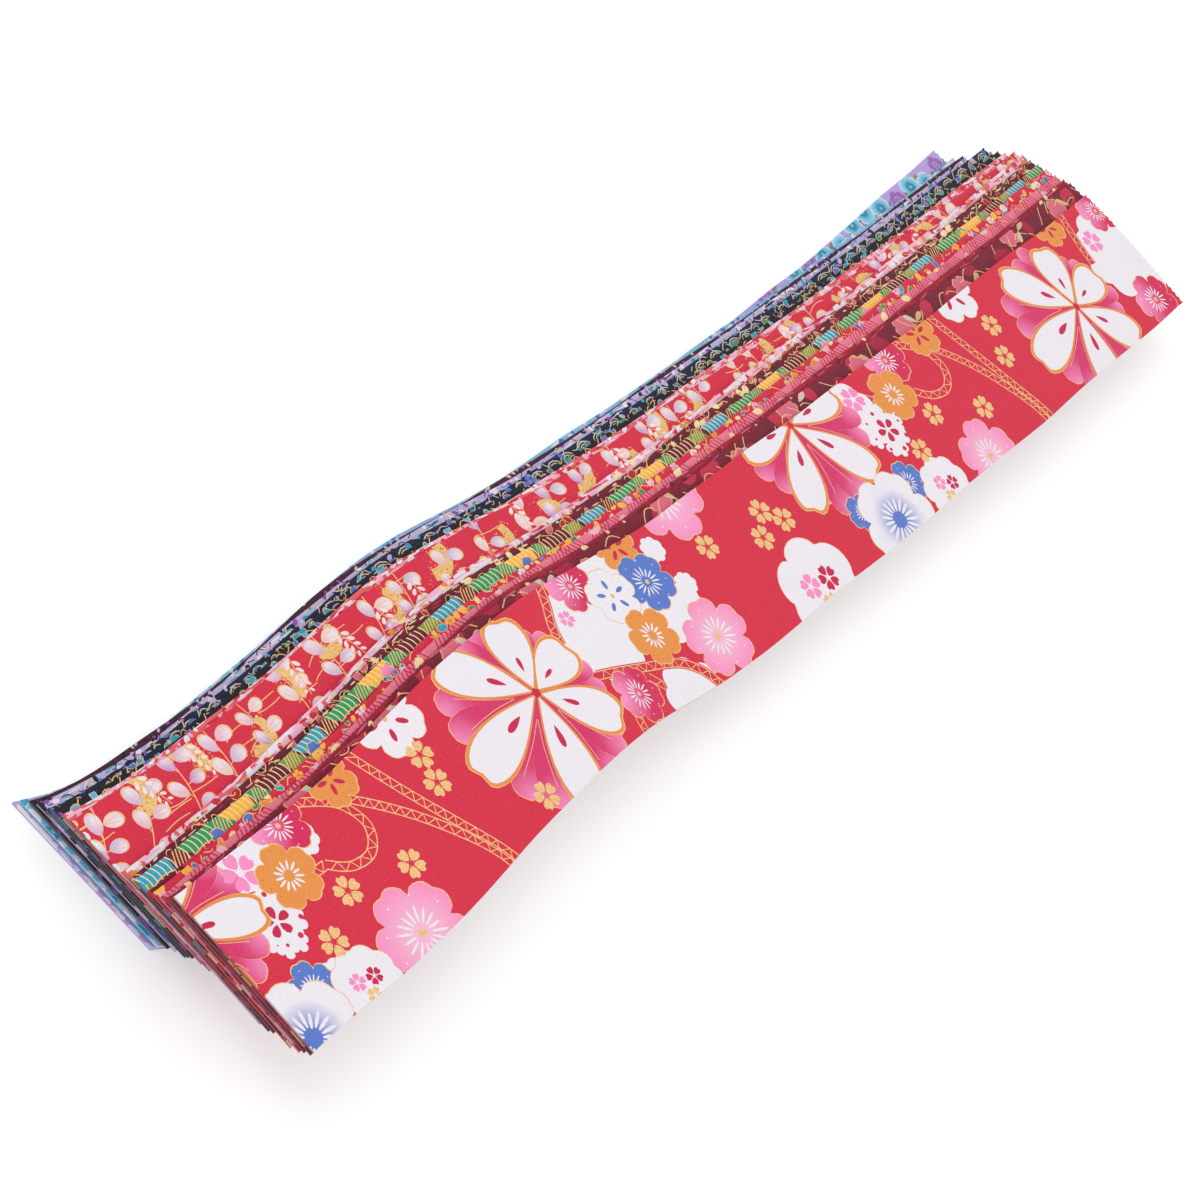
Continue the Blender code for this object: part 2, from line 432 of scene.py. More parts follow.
class LaidStrip:
    """Where every point of a flat strip comes to lie, read from the frame's solid of that strip."""

    def __init__(self, node):
        solid = bmesh.new()
        solid.from_mesh(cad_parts[node].data)
        bmesh.ops.remove_doubles(solid, verts=solid.verts, dist=JOINING_DISTANCE)
        self.tree = BVHTree.FromBMesh(solid)
        front, back = self.evened_rows(*(self.wall_rows(solid, sign) for sign in (-1, 1)))
        solid.free()

        # Points in millimetres: underside and upper side, row by row along and column by column across
        self.grid = np.zeros((2, front.shape[1], COLUMNS, 3))
        for side, i, j in np.ndindex(self.grid.shape[:3]):
            start, end = front[side, i], back[side, i]
            point = start + (end - start) * j / (COLUMNS - 1)
            if 0 < j < COLUMNS - 1:
                point[2] = self.height_at(point, from_above=side == 1)
            self.grid[side, i, j] = point * PER_METRE
        steps = np.linalg.norm(np.diff(self.grid[0, :, COLUMNS // 2], axis=0), axis=1)
        self.along = np.concatenate([[0], np.cumsum(steps)])
        self.length = self.along[-1]

    @staticmethod
    def wall_rows(solid, sign):
        """Lower and upper corners of the front wall (sign -1) or back wall, from the near end on."""
        walls = [f for f in solid.faces
                 if sign * f.normal.y > SIDEWAYS and abs(f.normal.z) < STEEP]
        points = np.array([v.co for v in {v for wall in walls for v in wall.verts}])
        points = points[np.argsort(points[:, 0])].reshape(-1, 2, 3)
        order = np.argsort(points[:, :, 2], axis=1)[..., None]
        return np.take_along_axis(points, order, axis=1).swapaxes(0, 1)

    @staticmethod
    def evened_rows(front, back):
        """The solid lacks a corner where a wall runs straight on: it is put back where it fits best."""
        while front.shape[1] != back.shape[1]:
            shorter, longer = sorted((front, back), key=lambda wall: wall.shape[1])
            tries = []
            for gap in range(1, shorter.shape[1]):
                between = shorter[:, gap - 1] + (shorter[:, gap] - shorter[:, gap - 1]) * 0.5
                filled = np.insert(shorter, gap, between, axis=1)
                across = np.linalg.norm(filled[0] - longer[0, : filled.shape[1]], axis=1) * PER_METRE
                tries.append((np.abs(across - STRIP_WIDTH).sum(), gap, filled))
            best = min(tries, key=lambda row: row[0])[2]
            front, back = (best, back) if shorter is front else (front, best)
        return front, back

    def height_at(self, point, from_above):
        """Height of the solid's upper or lower side, a little inwards where a ray misses its end."""
        z, down = (RAY_START, -1) if from_above else (-RAY_START, 1)
        for inwards in RAY_TRIES:
            x = point[0] - inwards * (1 if point[0] > 0 else -1)
            hit = self.tree.ray_cast(Vector((x, point[1], z)), Vector((0, 0, down)))[0]
            if hit is not None:
                return hit.z
        raise RuntimeError("the solid has a hole")

    def place(self, uv, height):
        """Where the flat strip's points uv lie, on its underside (height 0) or upper side (1)."""
        sheet = (1 - height) * self.grid[0] + height * self.grid[1]
        lines = [smoothed(self.along, sheet[:, j], uv[:, 0]) for j in range(COLUMNS)]
        lines = np.stack(lines, axis=1)
        across = np.linspace(0, STRIP_WIDTH, COLUMNS)
        cell = np.clip((uv[:, 1] / STRIP_WIDTH * (COLUMNS - 1)).astype(int), 0, COLUMNS - 2)
        t = ((uv[:, 1] - across[cell]) / across[1])[:, None]
        columns = (np.clip(cell + step, 0, COLUMNS - 1) for step in (-1, 0, 1, 2))
        before, a, b, after = (lines[np.arange(len(uv)), column] for column in columns)
        before = np.where((cell == 0)[:, None], 2 * a - b, before)
        after = np.where((cell == COLUMNS - 2)[:, None], 2 * b - a, after)
        return curve_between(before, a, b, after, t)


def cut_outline(length, chance, pinked_end, pinked_sides):
    """The flat strip's outline: a plain near end, sides that waver a little and a zigzag far end."""
    front, back = (0.0, 0.0), (0.0, STRIP_WIDTH)
    far_front, far_back = (length, 0.0), (length, STRIP_WIDTH)
    points = []
    phase = chance.uniform(0, 6)
    for a, b, inside, depth, pitch in (
        (front, far_front, (0, 1), pinked_sides, SIDE_PITCH),
        (far_front, far_back, (-1, 0), pinked_end, END_PITCH),
        (far_back, back, (0, -1), pinked_sides, SIDE_PITCH),
        (back, front, (1, 0), 0.0, END_PITCH),
    ):
        size = hypot(b[0] - a[0], b[1] - a[1])
        steps = max(2, round(size / pitch / 2) * 2) if depth else max(2, round(size / PLAIN_PITCH))
        for i in range(steps):
            t = i / steps
            x, y = a[0] + (b[0] - a[0]) * t, a[1] + (b[1] - a[1]) * t
            away = depth * (i % 2) + chance.uniform(0, SNIP)
            if inside[1]:
                slow, slower = WAVER_LENGTHS
                away += WAVER + WAVER * sin(x / slow + phase) * sin(x / slower)
            if i == 0:
                away = 0.0
            points.append((x + inside[0] * away, y + inside[1] * away))
    return points


def inside_of(points, shape):
    """Which of the points lie inside the closed shape."""
    x, y = points[:, 0], points[:, 1]
    within = np.zeros(len(points), bool)
    for (ax, ay), (bx, by) in zip(shape, shape[1:] + shape[:1]):
        if ay != by:
            within ^= ((ay > y) != (by > y)) & (x < ax + (y - ay) * (bx - ax) / (by - ay))
    return within


def triangulated(shapes, spacing):
    """Cuts the first shape along every shape's edge: points, triangles and the last shape over each."""
    points, edges = [], []
    for shape in shapes:
        start, size = len(points), len(shape)
        points += [Vector(p) for p in shape]
        edges += [(start + i, start + (i + 1) % size) for i in range(size)]
    step_u, step_v = spacing
    length = max(p[0] for p in shapes[0])
    for i in range(1, int(length / step_u)):
        for j in range(1, int(STRIP_WIDTH / step_v)):
            points.append(Vector((i * step_u + (j % 2) * step_u / 2, j * step_v)))
    places, _edges, triangles, *_rest = delaunay_2d_cdt(points, edges, [], 0, SAME_POINT)
    places, triangles = np.array([tuple(p) for p in places]), np.array(triangles)
    middles = places[triangles].mean(axis=1)
    order = np.argsort(middles[:, 0])
    triangles, middles = triangles[order], middles[order]
    owner = np.full(len(triangles), -1)
    for k, shape in enumerate(shapes):
        us, vs = zip(*shape)
        near = np.arange(*np.searchsorted(middles[:, 0], (min(us), max(us))))
        near = near[(owner[near] >= 0) | (k == 0)]
        near = near[(middles[near, 1] > min(vs)) & (middles[near, 1] < max(vs))]
        if len(near):
            owner[near[inside_of(middles[near], shape)]] = k
    kept = owner >= 0
    used, triangles = np.unique(triangles[kept], return_inverse=True)
    return places[used], triangles.reshape(-1, 3), owner[kept]


def colour_corners(corners, owner, paints):
    """Colour and gold at the corners of the triangles. owner tells the paint of each triangle."""
    parts = (np.array(part)[owner][:, None] for part in zip(*paints))
    inner, outer, centre, start, end, gold = parts
    away = np.linalg.norm(corners - centre, axis=2)
    t = np.clip((away - start) / (end - start), 0, 1)[..., None]
    return (inner * (1 - t) + outer * t).reshape(-1, 3), np.repeat(gold, 3)


def boundary_loop(triangles):
    """The corners round the edge of the triangles, in order."""
    sides = set()
    for a, b, c in triangles:
        sides.update(((a, b), (b, c), (c, a)))
    following = {a: b for a, b in sides if (b, a) not in sides}
    loop = [next(iter(following))]
    while following[loop[-1]] != loop[0]:
        loop.append(following[loop[-1]])
    return loop


def make_sheet(name, laid, drawn, outline, back_colour, edge_shade):
    """One strip of cloth as a closed thin sheet, with its print, its pale reverse and its cut edges in
    painted shade.
    """
    shapes, paints = zip(*drawn.shapes)
    places, upper, owner = triangulated([outline, *shapes], UPPER_SPACING)
    paints = [Paint(drawn.ground, drawn.ground), *paints]
    colours, gold = colour_corners(places[upper], owner, paints)
    loop = boundary_loop(upper.tolist())
    rim = places[loop]
    under_places, under, _owner = triangulated([[tuple(p) for p in rim]], UNDER_SPACING)

    # Corners of the upper side come first, then a ring half-way down the cut edge, then the underside
    around = np.arange(len(loop))
    rings = (np.array(loop), len(places) + around, len(places) + len(loop) + around)
    walls = [np.stack([a, b, np.roll(b, -1), np.roll(a, -1)], axis=1)
             for a, b in zip(rings, rings[1:])]
    faces = upper.tolist() + (under[:, [0, 2, 1]] + rings[2][0]).tolist()
    faces += np.stack(walls, axis=1).reshape(-1, 4).tolist()
    points = (laid.place(places, 1.0), laid.place(rim, 0.5), laid.place(under_places, 0.0))

    reverse, ground = np.array(back_colour), np.array(drawn.ground)
    back = reverse * REVERSE_SHARE + ground * (1 - REVERSE_SHARE)
    # Painted shade: the cut edge is darker than the cloth, as if shaded between the stacked strips, and
    # its lower half a little more
    cut_side = (reverse * CUT_SHARE + ground * (1 - CUT_SHARE)) * (edge_shade - LOWER_EDGE_PAINTED_SHADE)
    wall_colours = np.empty((len(loop), 2, 3))
    wall_colours[:, 0] = colours[np.unique(upper, return_index=True)[1][loop]] * edge_shade
    wall_colours[:, 1] = cut_side
    colours = np.concatenate(
        [colours, np.tile(back, (under.size, 1)), np.repeat(wall_colours.reshape(-1, 3), 4, axis=0)]
    )

    mesh = bpy.data.meshes.new(name)
    mesh.from_pydata((np.concatenate(points) * MM).tolist(), [], faces)
    corner_index = np.zeros(len(mesh.loops), int)
    mesh.loops.foreach_get("vertex_index", corner_index)
    flat = np.concatenate([places, rim, under_places]) * MM
    mesh.uv_layers.new(name="cloth").data.foreach_set("uv", flat[corner_index].ravel())
    tint = mesh.color_attributes.new("print_colour", "FLOAT_COLOR", "CORNER")
    tint.data.foreach_set("color", np.insert(colours, 3, 1.0, axis=1).ravel())
    shine = mesh.attributes.new("gold_print", "FLOAT", "CORNER")
    shine.data.foreach_set("value", np.pad(gold, (0, len(colours) - len(gold))))
    mesh.polygons.foreach_set("use_smooth", [True] * len(mesh.polygons))
    mesh.update()
    cloth = bpy.data.objects.new(name, mesh)
    bpy.context.scene.collection.objects.link(cloth)
    for other in bpy.context.selected_objects:
        other.select_set(False)
    cloth.select_set(True)
    bpy.context.view_layer.objects.active = cloth
    bpy.ops.object.shade_smooth_by_angle(angle=SHARP_ANGLE)
    return cloth


# Materials

# Scales of the slubs, the uneven dye and the single fibres, and how much they shade and lift the cloth.
# The weave's and the slubs' shading follows their height: painted shade of the relief, with the slubs'
# own uneven tone in it too. The dye's shading is its own uneven tone
SLUB_SCALE = 900.0
DYE_SCALE = 55.0
FIBRE_SCALE = 2600.0
MIDDLE_SHADE = 0.97
WEAVE_PAINTED_SHADE = 0.05
SLUB_TONE_AND_PAINTED_SHADE = 0.14
DYE_SHADE = 0.06
WEAVE_HEIGHT = 0.5
SLUB_HEIGHT = 0.9
GLINT_HEIGHT = 0.5
BUMP_DISTANCE = 0.0001
FLECK_RANGE = (0.60, 0.78)
GLINT_RANGE = (0.62, 0.30)
UNDYED = (0.9, 0.82, 0.84, 1.0)
PAINTED_GLINT_COLOUR = (1.0, 0.86, 0.55, 1.0)
PAINTED_GLINT_SHARE = 0.35
COTTON_ROUGHNESS = 0.86
COTTON_SPECULAR = 0.28
COTTON_SHEEN = 0.12
COTTON_SHEEN_ROUGHNESS = 0.5
GOLD_SMOOTHER = 0.42
SLUB_ROUGHNESS = 0.1


class Wire:
    """A shader socket that sums and products can be written with."""

    def __init__(self, look, socket):
        self.look, self.socket = look, socket

    def _math(self, operation, *values):
        return self.look.node("ShaderNodeMath", {"operation": operation}, dict(enumerate(values)))

    def __add__(self, other):
        return self._math("ADD", self, other)

    def __sub__(self, other):
        return self._math("SUBTRACT", self, other)

    def __mul__(self, other):
        return self._math("MULTIPLY", self, other)

    def __rsub__(self, other):
        return self._math("SUBTRACT", other, self)

    __radd__ = __add__
    __rmul__ = __mul__

    def sine(self):
        return self._math("SINE", self)

    def step_up(self, low, high):
        """0 at low, 1 at high, with a soft rise between."""
        return self.look.node("ShaderNodeMapRange", {"interpolation_type": "SMOOTHSTEP"},
                              {"Value": self, "From Min": low, "From Max": high})


class Look:
    """A material under construction."""

    def __init__(self, name):
        self.material = bpy.data.materials.new(name)
        self.material.use_nodes = True
        self.tree = self.material.node_tree
        self.shader = self.tree.nodes["Principled BSDF"]

    def node(self, kind, settings, sockets, output=0):
        made = self.tree.nodes.new(kind)
        for key, value in settings.items():
            setattr(made, key, value)
        for key, value in sockets.items():
            self.feed(made.inputs[key], value)
        return Wire(self, made.outputs[output])

    def noise(self, **sockets):
        return self.node("ShaderNodeTexNoise", {}, sockets)

    def feed(self, socket, value):
        if isinstance(value, Wire):
            self.tree.links.new(value.socket, socket)
        else:
            socket.default_value = value

    def shade(self, values):
        """Feeds or sets the shader's own sockets."""
        for name, value in values.items():
            self.feed(self.shader.inputs[name], value)

    def mixed(self, factor, first, second, blend="MIX"):
        """Two colours in one: they are sockets 6 and 7 of a Mix node, whose output 2 is a colour."""
        settings = {"data_type": "RGBA", "blend_type": blend}
        return self.node("ShaderNodeMix", settings, {0: factor, 6: first, 7: second}, output=2)


def cotton_material(name, cloth):
    """Printed quilting cotton: plain weave and slubs with painted shade on their relief, a slightly
    uneven dye, and glittering gold with painted glints.
    """
    look = Look(name)
    uv = look.node("ShaderNodeUVMap", {"uv_map": "cloth"}, {})
    u = look.node("ShaderNodeSeparateXYZ", {}, {"Vector": uv})
    v = Wire(look, u.socket.node.outputs["Y"])
    thread = 2 * pi / (cloth.thread_pitch * 2)
    weave = (u * thread).sine() * (v * thread).sine()
    slub = look.noise(Vector=uv, Scale=SLUB_SCALE, Detail=3.0)
    dye = look.noise(Vector=uv, Scale=DYE_SCALE, Detail=4.0, Roughness=0.6)
    fleck = look.noise(Vector=uv, Scale=FIBRE_SCALE, Detail=2.0)
    glint = look.node("ShaderNodeTexVoronoi", {"feature": "F1"}, {"Vector": uv, "Scale": FIBRE_SCALE})
    gold = look.node("ShaderNodeAttribute", {"attribute_name": "gold_print"}, {}, output="Fac")
    printed = look.node("ShaderNodeAttribute", {"attribute_name": "print_colour"}, {})
    # Painted shade: the weave's threads and the slubs are darker where they lie low and lighter where
    # they stand up, in step with the bump below; the slubs also partly have their own tone. The dye's
    # patches are the cloth's own uneven tone
    shade = MIDDLE_SHADE + weave * WEAVE_PAINTED_SHADE + (slub - 0.5) * SLUB_TONE_AND_PAINTED_SHADE + (dye - 0.5) * DYE_SHADE
    grey = look.node("ShaderNodeCombineColor", {}, {0: shade, 1: shade, 2: shade})
    dyed = look.mixed(1.0, printed, grey, "MULTIPLY")
    dyed = look.mixed(fleck.step_up(*FLECK_RANGE) * cloth.fleck, dyed, UNDYED)
    # Painted glints: in small spots of the gold print the base colour is lightened towards a pale gold;
    # the same spots also stand up in the bump
    sparkle = glint.step_up(*GLINT_RANGE) * gold
    height = weave * WEAVE_HEIGHT + (slub - 0.5) * SLUB_HEIGHT + sparkle * GLINT_HEIGHT
    relief = {"Height": height, "Strength": cloth.weave_relief, "Distance": BUMP_DISTANCE}
    look.shade({
        "Base Color": look.mixed(sparkle * PAINTED_GLINT_SHARE, dyed, PAINTED_GLINT_COLOUR),
        "Metallic": gold * cloth.gold_metal,
        "Roughness": COTTON_ROUGHNESS - gold * GOLD_SMOOTHER + (slub - 0.5) * SLUB_ROUGHNESS,
        "Normal": look.node("ShaderNodeBump", {}, relief),
        "Specular IOR Level": COTTON_SPECULAR,
        "Sheen Weight": COTTON_SHEEN,
        "Sheen Roughness": COTTON_SHEEN_ROUGHNESS,
    })
    return look.material


# Sizes and colours that a user may change


class FabricClothSizes(bpy.types.PropertyGroup):
    thread_pitch: bpy.props.FloatProperty(
        name="Thread pitch", description="Distance from one thread of the weave to the next",
        default=0.0004, min=0.0001, unit="LENGTH", precision=5,
    )
    weave_relief: bpy.props.FloatProperty(
        name="Weave relief", description="How strongly the threads stand out",
        default=0.55, min=0, max=1, subtype="FACTOR",
    )
    fleck: bpy.props.FloatProperty(
        name="Pale flecks", description="How much undyed fibre shows through the print",
        default=0.16, min=0, max=1, subtype="FACTOR",
    )
    gold_metal: bpy.props.FloatProperty(
        name="Gold", description="How metallic the gold print is",
        default=0.35, min=0, max=1, subtype="FACTOR",
    )
    pinked_ends: bpy.props.FloatProperty(
        name="Zigzag of the ends", description="Depth of the zigzag cut at the far end of each strip",
        default=0.0007, min=0, unit="LENGTH", precision=5,
    )


class FabricPrintColours(bpy.types.PropertyGroup):
    ground: bpy.props.FloatVectorProperty(
        name="Ground of the top strip", description="Red behind the blossoms",
        default=RED, min=0, max=1, subtype="COLOR",
    )
    reverse: bpy.props.FloatVectorProperty(
        name="Reverse", description="Pale unprinted side of every strip",
        default=PALE_BACK, min=0, max=1, subtype="COLOR",
    )


class FabricStudioLooks(bpy.types.PropertyGroup):
    floor: bpy.props.FloatVectorProperty(
        name="Floor", description="Colour of the plain floor",
        default=(0.60, 0.60, 0.60), min=0, max=1, subtype="COLOR",
    )
    glow: bpy.props.FloatProperty(
        name="Glow", description="How much the floor is lit from below, which softens the shadows",
        default=0.40, min=0,
    )
    key_power: bpy.props.FloatProperty(
        name="Key light", description="Power of the large soft light above",
        default=6.5, min=0, unit="POWER",
    )
    fill: bpy.props.FloatProperty(
        name="Fill", description="Brightness of the light from all round", default=0.92, min=0,
    )


# Layers that the strips' prints are made of

# Of most strips only a band along the back edge shows, so their motifs lie between v = low and that edge


def along(chance, start, end, least, most, step=1):
    """Places from start to end, each a random share of step beyond the one before."""
    u = start
    while u < end:
        yield u
        u += step * chance.uniform(least, most)


def scattered(drawn, length, low, step, paints, size, edge=None, lobes=0):
    """Small patches in changing paints along the band above v = low."""
    chance = drawn.chance
    for u in along(chance, chance.uniform(0, step), length, 0.5, 1.5, step):
        r = size * chance.uniform(0.6, 1.25)
        place = (u, chance.uniform(low, STRIP_WIDTH + 0.3))
        shape = lobed(r, lobes, 0.3, 0.6, 0.0, 20) if lobes else oval(2.4 * r, 1.5 * r, 9)
        paint, turn = chance.choice(paints), chance.uniform(0, 3)
        if edge:
            drawn.outlined(shape, turn, place, paint, edge)
        else:
            drawn.lay(shape, turn, place, paint)


def streaks(drawn, length, low, step, paints, width=0.7, reach=6.0):
    """Long thin brush marks that run along the band."""
    chance = drawn.chance
    for u in along(chance, 0.0, length, 0.4, 1.6, step):
        place = (u, chance.uniform(low, STRIP_WIDTH + 0.2))
        mark = oval(reach * chance.uniform(0.4, 1.3), width * chance.uniform(0.5, 1.3), 8)
        drawn.lay(mark, chance.uniform(-0.12, 0.12), place, chance.choice(paints))


def fine_lines(drawn, length, low, step, reach, paint=GOLD, width=0.3):
    """Fine curled lines, one after another along the band."""
    chance = drawn.chance
    for u in along(chance, chance.uniform(0, step), length, 0.6, 1.4, step):
        v, lean = chance.uniform(low, STRIP_WIDTH), chance.uniform(-0.7, 0.7)
        shares = (0, 0.25, 0.5, 0.75, 1.0)
        line = [(u + reach * t, v + reach * (lean * t + 0.35 * sin(3.0 * t + u))) for t in shares]
        drawn.stroke(curve_through(line, 3), width, paint)


def edge_marks(drawn, length, paints):
    """Bits of the print that the cut crosses along the front edge and at both ends."""
    chance = drawn.chance
    for u in along(chance, 0.0, length, 0.5, 1.6, 5.0):
        drawn.lay(oval(chance.uniform(1.5, 5.0), 2.0, 8), 0, (u, 0.2), chance.choice(paints))
    for end in (0.2, length - 0.2):
        for v in along(chance, 1.0, STRIP_WIDTH, 0.5, 1.5, 3.6):
            drawn.lay(oval(1.6, chance.uniform(1.5, 4.5), 8), 0, (end, v), chance.choice(paints))


# Radius, heart, rim, stamens and edge
PURPLE_BLOSSOM = (4.3, PURPLE, MAUVE, LILAC, LILAC)
TEAL_BLOSSOM = (4.9, TEAL, PALE_SKY, DEEP_BLUE, WHITE)


def lavender_sprays(drawn, length):
    """Purple and blue blossoms, each with three olive leaves behind it."""
    chance = drawn.chance
    for u in along(chance, 4.0, length, 8.0, 12.5):
        v = chance.uniform(42, 50.5)
        for turn in (0.6, 2.6, 4.4):
            leaf = petal(4.6, 2.1, 0, 0.4, 12)
            drawn.lay(leaf, turn + chance.uniform(-0.4, 0.4), (u + 4.4, v - 1.2), OLIVE)
        radius, *colours = PURPLE_BLOSSOM if chance.random() < 0.5 else TEAL_BLOSSOM
        drawn.blossom((u, v), radius, chance.uniform(0, 3), *colours)


def beige_arcs(drawn, length):
    """Sets of three beige arcs, one inside another."""
    for u in along(drawn.chance, 2.0, length, 6.0, 11.0):
        for r in (3.4, 2.5, 1.6):
            arc = [point_at((u, 45.6), 0.25 + 0.52 * i, r) for i in range(6)]
            drawn.stroke(arc, 0.42, BEIGE)


def gold_fans(drawn, length):
    """Crescents of gold that break up into grains."""
    chance = drawn.chance
    for u in along(chance, chance.uniform(14, 20), length, 17, 25):
        centre, size = (u, chance.uniform(40, 48)), chance.uniform(5.8, 7.6)
        turn = chance.uniform(3.4, 5.6)
        moon = [(size * cos(0.30 * i), size * sin(0.30 * i)) for i in range(11)]
        moon += [(size * 0.55 * cos(0.30 * i) - 0.6, size * 0.5 * sin(0.30 * i) - 0.5)
                 for i in range(10, -1, -1)]
        drawn.lay(moon, turn, centre, GLITTER)
        for paint, count, near, far in ((GLITTER, 80, 0.15, 1.25), (RED, 26, 0.5, 1.0)):
            for _ in range(count):
                lean, out = turn + chance.uniform(-0.4, 3.3), chance.uniform(near, far) * size
                drawn.dot(point_at(centre, lean, out), chance.uniform(0.14, 0.30), paint, 4)


def wisteria_bud(drawn, place, turn, size, petal_colour):
    """A round bud, paler towards its tip, with a gold edge and fine gold creases."""
    pale_end = point_at(place, turn - 0.2, size * 0.75)
    fill = Paint(BUD_TIP, petal_colour, pale_end, size * 0.1, size * 0.62)
    drawn.outlined(petal(size, size * 0.64, 0.0, 0.16, 18), turn, place, fill, margin=0.62)
    for lean in (-0.22, 0.18):
        drawn.stroke([place, point_at(place, turn + lean, size * 0.8)], 0.22, GOLD)


def seed_bunch(drawn, top, turn):
    """Pairs of small petals down a stem, smaller towards its tip."""
    drawn.stroke(turned([(0, 0), (5.5, 0.4), (11.0, 0)], turn, top), 0.26, GOLD)
    for i in range(5):
        for side in (-1, 1):
            seed = petal(2.5 - 0.26 * i, 1.25 - 0.12 * i, 0, 0.2, 9)
            place = turned([(2.2 * i + 0.4, 0.5 * side)], turn, top)[0]
            drawn.outlined(seed, turn + side * 0.8, place, SEED_PINK, margin=0.28)


def wisteria_branches(drawn, length):
    """Gold branches with white and lilac buds, loose twigs and bunches of seeds."""
    chance = drawn.chance
    low = 30.0
    for u in along(chance, -6.0, length + 6, 14.5, 19.0):
        for _ in range(3):
            x, y = u + chance.uniform(0, 12), chance.uniform(low, 48)
            rise = chance.uniform(-0.9, 0.9)
            twig = [(x + 2.4 * i, y + rise * i * 1.6 - 0.3 * i * i * rise) for i in range(5)]
            drawn.stroke(curve_through(twig, 3), 0.28, GOLD)
        heading = chance.uniform(0.5, 1.3)
        foot = (u, low + chance.uniform(-2, 4))
        line = curve_through([point_at(foot, heading + 0.07 * i, 4.8 * i) for i in range(6)], 4)
        drawn.stroke(line, 0.34, GOLD)
        for i in range(2, len(line) - 1, 3):
            turn = heading + (1 if i % 2 else -1) * chance.uniform(0.7, 1.1)
            end = point_at(line[i], turn, 1.3)
            drawn.stroke([line[i], end], 0.26, GOLD)
            shade = chance.choice(BUD_COLOURS)
            wisteria_bud(drawn, end, turn, chance.uniform(4.9, 6.3), shade)
        if chance.random() < 0.45:
            top = (u + chance.uniform(8, 12), chance.uniform(44, 50))
            seed_bunch(drawn, top, chance.uniform(-1.9, -1.1))


BAND_PITCH = 17.0
BAND_LOW, BAND_HIGH = 41.0, 51.0
BAND_FOOT = BAND_HIGH - 5.6
BAND_COLOURS = (TEAL, GREEN, YELLOW, MAROON)
WEDGE_COLOURS = (MAROON, GREEN, GREEN, LEAF_GREEN)
HEM_COLOURS = (RED, DEEP_RED, MAROON, BOTTLE_GREEN)
BAND_DOTS = (TEAL, GREEN, BLUE, YELLOW, CREAM, ORANGE)
POSY_PITCH = 34


def slanted_bands(drawn, length):
    """Slanted fields in four colours with pale gold ribs, and hatching where they meet."""
    chance, foot, low, high = drawn.chance, BAND_FOOT, BAND_LOW, BAND_HIGH
    reach = BAND_PITCH * 0.70
    for i in range(-1, int(length / BAND_PITCH) + 2):
        start = i * BAND_PITCH + chance.uniform(-1.6, 1.6)
        end = start + BAND_PITCH
        hem = [(start - 3, low), (end, low), (end - 2, foot + 0.8), (start - 3, foot + 0.2)]
        drawn.add(hem, chance.choice(HEM_COLOURS))
        meeting = start + reach
        wedge = [(meeting - 1.6, high), (meeting + 1.4, foot), (end + 2.6, foot), (end - 1.0, high)]
        drawn.add(wedge, WEDGE_COLOURS[i % 4])
        for k in range(5):
            u = meeting + 0.2 + k * 1.15
            drawn.stroke([(u + 2.2, high - 0.3), (u - 0.6, foot + 0.3)], 0.36, GOLD)
        belly = [(start + reach * t + 1.6 * (1 - t), foot + 0.9 * sin(pi * t))
                 for t in (0.1, 0.3, 0.5, 0.7, 0.9)]
        drawn.add([(start - 2.4, high), *belly, (meeting - 0.6, high)], BAND_COLOURS[i % 4])
        for k in range(7):
            u = start - 1.2 + reach * k / 6.4
            rib = [(u, high), (u + 1.3, high - 1.8), (u + 1.8, high - 3.4), (u + 1.6, foot + 0.3)]
            drawn.stroke(curve_through(rib, 3), 0.38, CREAM)
        drawn.stroke(belly, 0.34, GOLD)
        for k in range(7):
            u, v = start + 2.3 * k, low + chance.uniform(1.0, 3.2)
            drawn.stroke([(u, v - 1.2), (u + 1.4, v + 1.4)], 0.32, GOLD)
            radius = chance.uniform(0.6, 1.2)
            drawn.dot((u + 1.8, v), radius, chance.choice(BAND_DOTS))
    for i in range(1, int(length / POSY_PITCH)):
        place = (POSY_PITCH * i + chance.uniform(-9, 9), chance.uniform(43.0, 47.0))
        shape = lobed(2.3, 6, 0.3, 0.6, 0.0, 20)
        drawn.outlined(shape, i, place, chance.choice((YELLOW, BLUE, GREEN, PINK)))


def small_posies(drawn, length):
    """Small pale flowers, one after another."""
    chance = drawn.chance
    for u in along(chance, 2.0, length, 9, 15):
        place, turn = (u, chance.uniform(45.5, 49.5)), chance.uniform(0, 3)
        drawn.small_blossom(place, 1.7, turn, chance.choice((WHITE, PALE_PINK, YELLOW)))


def leaning_strokes(drawn, length):
    """Crimson strokes that lean one way for a stretch and then the other."""
    low, u = 44.5, 0.0
    while u < length:
        lean = 1.5 if int(u / 9.5) % 2 else -1.5
        drawn.stroke([(u, low), (u + lean, low + 3), (u + 2 * lean, low + 6.0)], 0.42, CRIMSON)
        u += 1.6


def dusty_sprays(drawn, length):
    """Dusty pink blossoms, each with three leaves over it."""
    chance = drawn.chance
    for u in along(chance, 12.0, length, 24, 42):
        place = (u, chance.uniform(43.5, 49))
        drawn.outlined(lobed(4.6, 5, dent=0.1), chance.uniform(0, 3), place, DUSTY_PINK)
        for turn in (0.4, 2.2, 4.0):
            foot = (place[0] + 6.4, place[1] - 1.0)
            drawn.lay(petal(5.2, 2.2, 0, 0.4, 12), turn, foot, chance.choice((BEIGE, MAROON, SAND)))


